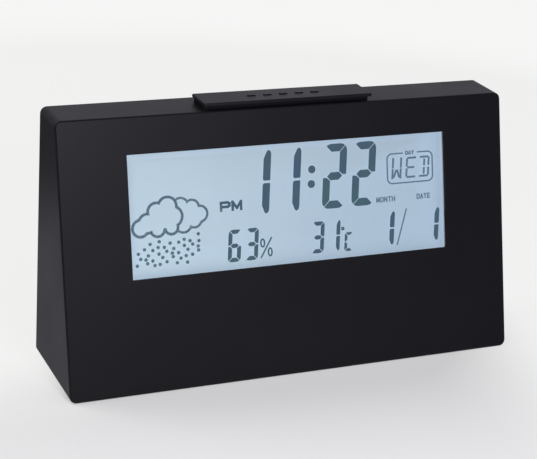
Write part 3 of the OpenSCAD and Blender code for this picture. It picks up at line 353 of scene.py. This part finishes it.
# The film behind the display's glass. Its emission is painted light: it stands in for the backlight and for the
# lamp light that the clear sheets in front block.
filmLook = {
    "left": (0.3, 0.38, 0.44),
    "right": (0.29, 0.36, 0.46),
    "paintedGlowLeft": (0.535, 0.665, 0.77),
    "paintedGlowRight": (0.42, 0.535, 0.65),
    "paintedGlowRim": (0.36, 0.46, 0.57),
    "halfWidth": 0.05,
    "halfHeight": 0.0175,
    "middle": 0.0475,
    "rimFade": (-0.001, 0.004),
    "rimShare": 0.7,
    "blotchSize": 0.014,
    "blotchShift": 0.015,
    "paperSize": 0.00012,
    "paperDepth": 0.000003,
    "roughness": 0.5,
    "paperGloss": 0.2,
    "specular": 0.2,
}


def paintedGlowFilm(look):
    finish = Finish("paintedGlowFilm", {"Specular IOR Level": look["specular"], "Emission Strength": 1.0})
    x, _, z = finish.axes()
    side = x + finish.noise(look["blotchSize"], 2) * look["blotchShift"]
    side = side.ramp(-look["halfWidth"], look["halfWidth"])
    # The painted glow falls off towards the window's edges, a painted shade at the rim
    fromSide = look["halfWidth"] - x.absolute()
    fromEnd = look["halfHeight"] - (z - look["middle"]).absolute()
    rim = 1 - fromSide.smaller(fromEnd).ramp(*look["rimFade"])
    # The painted glow is brighter on the left than on the right
    glow = finish.colour(side, look["paintedGlowLeft"], look["paintedGlowRight"])
    paper = finish.noise(look["paperSize"], 2)
    return finish.drive(baseColor=finish.colour(side, look["left"], look["right"]),
                        emission=finish.colour(rim * look["rimShare"], glow, look["paintedGlowRim"]),
                        roughness=look["roughness"] + paper * look["paperGloss"],
                        normal=finish.bump(paper, look["paperDepth"]))


# A dark segment has a painted glow: it stands in for the little backlight a segment lets through and for the lamp
# light that the clear sheets in front block.
# The fine print, top right, and the date's slash have a stronger painted glow and look paler than the digits.
inkLook = {
    "slate": (0.03, 0.06, 0.1),
    "teal": (0.03, 0.07, 0.09),
    "paintedGlowSlate": (0.055, 0.1, 0.16),
    "paintedGlowTeal": (0.055, 0.115, 0.147),
    "paintedGlowFine": (0.12, 0.19, 0.27),
    "fineShare": 0.8,
    "fineCorner": (0.0274, 0.0449),
    "fineLean": 0.3,
    "slashFrom": 0.03452,
    "slashTo": 0.039,
    "patchSize": 0.009,
    "patchFade": (0.35, 0.65),
    "roughness": 0.55,
    "specular": 0.1,
}


def displayInk(look):
    finish = Finish("displayInk", {
        "Specular IOR Level": look["specular"],
        "Roughness": look["roughness"],
        "Emission Strength": 1.0,
    })
    patch = finish.noise(look["patchSize"], 2).ramp(*look["patchFade"])
    x, _, z = finish.axes()
    cornerX, cornerZ = look["fineCorner"]
    high = z.above(cornerZ)
    finePrint = high * (x - (z - cornerZ) * look["fineLean"]).above(cornerX)
    slash = (1 - high) * x.above(look["slashFrom"]) * (1 - x.above(look["slashTo"]))
    # The emission is a painted glow
    glow = finish.colour(patch, look["paintedGlowSlate"], look["paintedGlowTeal"])
    glow = finish.colour((finePrint + slash) * look["fineShare"], glow, look["paintedGlowFine"])
    return finish.drive(baseColor=finish.colour(patch, look["slate"], look["teal"]), emission=glow)


# Plain moulded, fired or coated surfaces: two tones, a grain and uneven gloss
speckledLook = {
    "cloudSize": 25,  # times the grain
    "cloudShare": 0.4,
    "grainShare": 0.6,
    "grainGloss": 0.2,
    "cloudGloss": 0.15,
    "depth": 0.000004,
    "specular": 0.35,
}
whiteMoulding = {"tones": ((0.78, 0.78, 0.76), (0.84, 0.84, 0.83)), "grain": 0.0003, "rough": 0.45}
domeSilicone = {"tones": ((0.52, 0.52, 0.49), (0.6, 0.6, 0.57)), "grain": 0.0002, "rough": 0.6}
epoxyDrop = {
    "tones": ((0.008, 0.008, 0.009), (0.014, 0.014, 0.015)),
    "grain": 0.0012,
    "rough": 0.22,
    "depth": 0.00003,
}
darkMoulding = {"tones": ((0.03, 0.031, 0.035), (0.042, 0.044, 0.05)), "grain": 0.0002, "rough": 0.4}
chipFired = {"tones": ((0.3, 0.22, 0.13), (0.4, 0.31, 0.2)), "grain": 0.00015, "rough": 0.5}
buzzerFired = {"tones": ((0.66, 0.63, 0.57), (0.76, 0.74, 0.68)), "grain": 0.0003, "rough": 0.45}
redSleeve = {"tones": ((0.3, 0.012, 0.01), (0.38, 0.02, 0.016)), "grain": 0.0004, "rough": 0.42}
paleSleeve = {"tones": ((0.52, 0.52, 0.5), (0.6, 0.6, 0.58)), "grain": 0.0004, "rough": 0.45}


def speckled(name, surface):
    look = dict(speckledLook, **surface)
    finish = Finish(name, {"Specular IOR Level": look["specular"]})
    grain = finish.noise(look["grain"], 4)
    clouds = finish.noise(look["grain"] * look["cloudSize"], 3)
    mottling = grain * look["grainShare"] + clouds * look["cloudShare"]
    rough = look["rough"] + (grain - 0.5) * look["grainGloss"] + (clouds - 0.5) * look["cloudGloss"]
    return finish.drive(baseColor=finish.colour(mottling, *look["tones"]),
                        roughness=rough,
                        normal=finish.bump(grain, look["depth"]))


boardLook = {
    "mask": (0.012, 0.085, 0.03),
    "copper": (0.03, 0.15, 0.055),
    "trackPitch": 0.0016,
    "trackFrom": 0.62,
    "trackDepth": 0.00002,
    "regionSize": 0.011,
    "weavePitch": 0.0004,
    "weaveDepth": 0.2,  # times the tracks
    "roughness": 0.32,
    "weaveGloss": 0.15,
    "specular": 0.5,
}


def circuitBoard(look):
    # Tracks run across in some regions of the board and along it in the others
    finish = Finish("circuitBoard", {"Specular IOR Level": look["specular"]})
    x, _, z = finish.axes()
    region = finish.noise(look["regionSize"], 1).above(0.5)
    across = x.wave(look["trackPitch"]).above(look["trackFrom"])
    along = z.wave(look["trackPitch"]).above(look["trackFrom"])
    track = region * across + (1 - region) * along
    weave = x.wave(look["weavePitch"]) * z.wave(look["weavePitch"])
    return finish.drive(baseColor=finish.colour(track, look["mask"], look["copper"]),
                        roughness=look["roughness"] + weave * look["weaveGloss"],
                        normal=finish.bump(track + weave * look["weaveDepth"], look["trackDepth"]))


steelLook = {
    "brushSize": 0.0005,
    "brushDepth": 0.000004,
    "brushGloss": 0.25,
    "stainSize": 0.003,
    "stainShare": 0.6,
    "stained": 0.72,
    "stainGloss": 0.08,
    "edgeRadius": 0.00015,
    "edgeFade": (0.0125, 0.25),
    # The edges are painted brighter by these two, a painted highlight
    "edgeHighlightShare": 0.5,
    "bright": 1.2,
}
screwSteel = {"colour": (0.58, 0.585, 0.6), "rough": 0.3, "brushed": (1, 1, 1)}
contactSteel = {"colour": (0.72, 0.71, 0.68), "rough": 0.2, "brushed": (0.2, 1, 0.2)}
rolledBrass = {"colour": (0.68, 0.47, 0.2), "rough": 0.28, "brushed": (0.1, 1, 1)}


def platedSteel(name, metal):
    look = dict(steelLook, **metal)
    finish = Finish(name, {"Metallic": 1.0})
    brush = finish.noise(look["brushSize"], 4, look["brushed"])
    stain = finish.noise(look["stainSize"], 3)
    edge = finish.edges(look["edgeRadius"], look["edgeFade"])
    colour = look["colour"]
    shade = finish.colour(stain * look["stainShare"], colour, shaded(colour, look["stained"]))
    # Edges are painted brighter, a painted highlight
    shade = finish.colour(edge * look["edgeHighlightShare"], shade, shaded(colour, look["bright"]))
    rough = look["rough"] + (brush - 0.5) * look["brushGloss"] + stain * look["stainGloss"]
    return finish.drive(baseColor=shade, roughness=rough, normal=finish.bump(brush, look["brushDepth"]))


# Dark sleeve with a copper band at the plus end and bare steel at both ends
cellLook = {
    "body": (0.012, 0.012, 0.014),
    "band": (0.42, 0.19, 0.045),
    "steel": (0.62, 0.62, 0.6),
    "bandLength": 0.011,
    "endLength": 0.0014,
    "bandMetal": 0.7,
    "scuffSize": 0.0015,
    "scuffStretch": (0.2, 1, 1),
    "roughness": 0.26,
    "scuffGloss": 0.14,
    "steelGloss": 0.08,
    "specular": 0.5,
}


def cellSleeve(name, box, plusSide, look):
    finish = Finish(name, {"Specular IOR Level": look["specular"]})
    low, high = box
    x = finish.axes()[0]
    fromPlus = (high.x - x) if plusSide > 0 else (x - low.x)
    minusEnd = high.x - low.x - look["endLength"]
    band = 1 - fromPlus.above(look["bandLength"])
    steel = (1 - fromPlus.above(look["endLength"])).larger(fromPlus.above(minusEnd))
    shade = finish.colour(band, look["body"], look["band"])
    shade = finish.colour(steel, shade, look["steel"])
    scuffs = finish.noise(look["scuffSize"], 4, look["scuffStretch"])
    rough = look["roughness"] + scuffs * look["scuffGloss"] + steel * look["steelGloss"]
    return finish.drive(baseColor=shade, metallic=steel.larger(band * look["bandMetal"]), roughness=rough)


stripLook = {
    "dark": (0.02, 0.02, 0.022),
    "pale": (0.4, 0.42, 0.46),
    "pitch": 0.0002,
    "roughness": 0.7,
    "stripeGloss": 0.1,
    "specular": 0.2,
}


def stripedRubber(look):
    finish = Finish("stripedRubber", {"Specular IOR Level": look["specular"]})
    stripe = finish.axes()[0].wave(look["pitch"])
    return finish.drive(baseColor=finish.colour(stripe, look["dark"], look["pale"]),
                        roughness=look["roughness"] + stripe * look["stripeGloss"])


# The light guide has a grid of fine dots that scatter its light
guideLook = {
    "clear": (0.9, 0.92, 0.93),
    "dot": (0.74, 0.78, 0.8),
    "dotsInMetre": 900.0,
    "dotFade": (0.1, 0.3),
    "roughness": 0.2,
    "specular": 0.5,
}


def milkyAcrylic(look):
    finish = Finish("milkyAcrylic", {"Specular IOR Level": look["specular"], "Roughness": look["roughness"]})
    scattered = {"Vector": finish.place, "Scale": look["dotsInMetre"]}
    dots = finish.value("ShaderNodeTexVoronoi", {}, scattered).ramp(*look["dotFade"])
    return finish.drive(baseColor=finish.colour(dots, look["clear"], look["dot"]))


finishes = {
    "case_plastic": casePlastic(mouldedBlack),
    "bar_plastic": barPlastic(snoozeLook),
    "key_plastic": keyPlastic(keyLook),
    "clear_plastic": clearSheet("clearPlastic", windowSheet),
    "display_glass": clearSheet("displayGlass", glassSheet),
    "front_film": clearSheet("frontFilm", filmSheet),
    "display_back": paintedGlowFilm(filmLook),
    "display_ink": displayInk(inkLook),
    "light_plastic": milkyAcrylic(guideLook),
    "white_plastic": speckled("whitePlastic", whiteMoulding),
    "strip_rubber": stripedRubber(stripLook),
    "dome_rubber": speckled("domeRubber", domeSilicone),
    "board": circuitBoard(boardLook),
    "epoxy": speckled("blackEpoxy", epoxyDrop),
    "part_plastic": speckled("partPlastic", darkMoulding),
    "chip_ceramic": speckled("chipCeramic", chipFired),
    "screw_steel": platedSteel("screwSteel", screwSteel),
    "contact_steel": platedSteel("contactSteel", contactSteel),
    "buzzer_brass": platedSteel("rolledBrass", rolledBrass),
    "buzzer_ceramic": speckled("silveredCeramic", buzzerFired),
    "red_lead": speckled("redLead", redSleeve),
    "pale_lead": speckled("paleLead", paleSleeve),
}
print("Finishes made:", len(finishes))


def dress(name, finish):
    data = nodes[name].data
    data.materials.clear()
    data.materials.append(finish.material)


for part in frame["record"]["subparts"]:
    if part["material_slot"] in finishes:
        dress(part["node"], finishes[part["material_slot"]])
# The plus ends of the two cells point opposite ways
for name, plusSide in (("upper_cell", -1), ("lower_cell", 1)):
    dress(name, cellSleeve(name + "_sleeve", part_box(name), plusSide, cellLook))
print("Pieces dressed")

# The silicone dome gives way under the snooze bar in the clock; here it only gets a mesh of its own
domeLow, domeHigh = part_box("snooze_dome")
snoozeTravel = next(j for j in frame["joints"] if j["name"] == "snooze_press")["range_m"][1]
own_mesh(nodes["snooze_dome"], "snooze_press", axis=(0, 0, 1), anchor=(0, 0, domeLow.z),
          keep=1 - snoozeTravel / (domeHigh.z - domeLow.z))


# Pale floor and even background. The floor turns into the backdrop behind the clock,
# to its right and far away. Glossy faces see the floor painted darker, with a dark patch painted on it out of
# sight: a painted reflection that darkens the case's sides.
stageLook = {
    "floorHalf": 1.6,
    "floor": (0.865, 0.858, 0.838),
    "floorGrain": 0.004,
    "floorGrainShare": 0.5,
    "floorDarker": 0.98,
    "floorRoughness": 0.8,
    "floorSpecular": 0.1,
    "backdrop": (0.92, 0.92, 0.915),
    "paleBehind": (-0.035, 0.015),
    "paleRight": (0.03, 0.09),
    "paleShare": 0.85,
    "farFade": (0.12, 0.4),
    "paintedMirroredFloor": (0.53, 0.515, 0.6),
    "paintedDarkPatch": (0.004, 0.004, 0.005),
    "paintedDarkPatchPlace": (-0.19, 0.24, 0),
    "paintedDarkPatchFade": (0.115, 0.16),
    "sky": (0.47, 0.47, 0.4794),
    "mirroredSky": (0.665, 0.655, 0.73),
    "mirroredRoom": (0.16, 0.156, 0.18),
    # Each soft panel that glossy faces mirror: its direction, where its edge fades, its strength
    "panels": [
        ((0.6, 0.7, 0.35), (0.2, 0.95), 1.0),
        ((0, 0, 1), (0.6, 0.95), 0.4),
        ((-0.92, -0.38, 0), (0.6, 0.95), 0.5),
    ],
}


def rayKinds(graph):
    # 1 for rays from the camera or through glass, and 1 for rays off a glossy surface
    path = graph.node("ShaderNodeLightPath")
    camera, through, glossy = (
        Value(graph, path.outputs[n]) for n in ("Is Camera Ray", "Is Transmission Ray", "Is Glossy Ray"))
    return camera.larger(through), glossy


def addFloor(look):
    half = look["floorHalf"]
    corners = [(-half, -half, 0), (half, -half, 0), (half, half, 0), (-half, half, 0)]
    mesh = bpy.data.meshes.new("floor")
    mesh.from_pydata(corners, [], [(0, 1, 2, 3)])
    floor = bpy.data.objects.new("floor", mesh)
    bpy.context.scene.collection.objects.link(floor)
    finish = Finish("floorPaper", {
        "Specular IOR Level": look["floorSpecular"],
        "Roughness": look["floorRoughness"],
    })
    grain = finish.noise(look["floorGrain"], 3) * look["floorGrainShare"]
    darker = shaded(look["floor"], look["floorDarker"])
    finish.drive(baseColor=finish.colour(grain, look["floor"], darker))
    direct, glossy = rayKinds(finish)
    x, y, _ = finish.axes()
    fromClock = finish.measure("DISTANCE", finish.place, (0, 0, 0))
    # Glossy rays see a painted reflection: a darker floor with a dark patch painted on it
    fromPaintedDarkPatch = finish.measure("DISTANCE", finish.place, look["paintedDarkPatchPlace"])
    mirrored = finish.colour(fromPaintedDarkPatch.ramp(*look["paintedDarkPatchFade"]), look["paintedDarkPatch"], look["paintedMirroredFloor"])
    pale = finish.colour(glossy, look["backdrop"], mirrored)
    glow = finish.node("ShaderNodeEmission", {}, {"Color": pale})
    beside = y.ramp(*look["paleBehind"]).larger(x.ramp(*look["paleRight"])) * look["paleShare"]
    fade = beside.larger(fromClock.ramp(*look["farFade"])) * direct.larger(glossy)
    surfaces = {0: fade, 1: finish.shader.outputs[0], 2: glow.outputs[0]}
    mixed = finish.node("ShaderNodeMixShader", {}, surfaces)
    finish.connect(finish.output.inputs["Surface"], mixed.outputs[0])
    mesh.materials.append(finish.material)


def addSky(look):
    world = bpy.data.worlds.new("softSky")
    world.use_nodes = True
    bpy.context.scene.world = world
    sky = Graph(world.node_tree)
    direct, glossy = rayKinds(sky)
    direction = sky.node("ShaderNodeTexCoord").outputs["Generated"]
    bright = 0
    for side, edge, strength in look["panels"]:
        panel = sky.measure("DOT_PRODUCT", direction, side).ramp(*edge) * strength
        bright = panel.larger(bright)
    reflected = sky.colour(bright, look["mirroredRoom"], look["mirroredSky"])
    colour = sky.colour(glossy, look["sky"], reflected)
    colour = sky.colour(direct, colour, look["backdrop"])
    background = sky.node("ShaderNodeBackground", {}, {"Color": colour})
    sky.node("ShaderNodeOutputWorld", {}, {"Surface": background.outputs[0]})


lamps = {
    "keyLamp": {
        "place": (-0.02, -0.43, 0.237),
        "size": 0.13,
        "watts": 1.15,
        "colour": (0.98, 0.96, 1.06),
    },
    "leftLamp": {
        "place": (-0.45, 0.25, 0.5),
        "size": 0.5,
        "watts": 1.6,
        "colour": (1.0, 1.0, 1.0),
    },
}
lampAim = Vector((0, 0, 0.035))


def addLamp(name, lamp):
    data = bpy.data.lights.new(name, "AREA")
    data.shape = "DISK"
    data.size = lamp["size"]
    data.energy = lamp["watts"]
    data.color = lamp["colour"]
    light = bpy.data.objects.new(name, data)
    bpy.context.scene.collection.objects.link(light)
    light.location = lamp["place"]
    light.rotation_euler = (lampAim - Vector(lamp["place"])).to_track_quat("-Z", "Y").to_euler()
    light.visible_camera = False


addFloor(stageLook)
addSky(stageLook)
for name, lamp in lamps.items():
    addLamp(name, lamp)
print("Stage and lamps set")
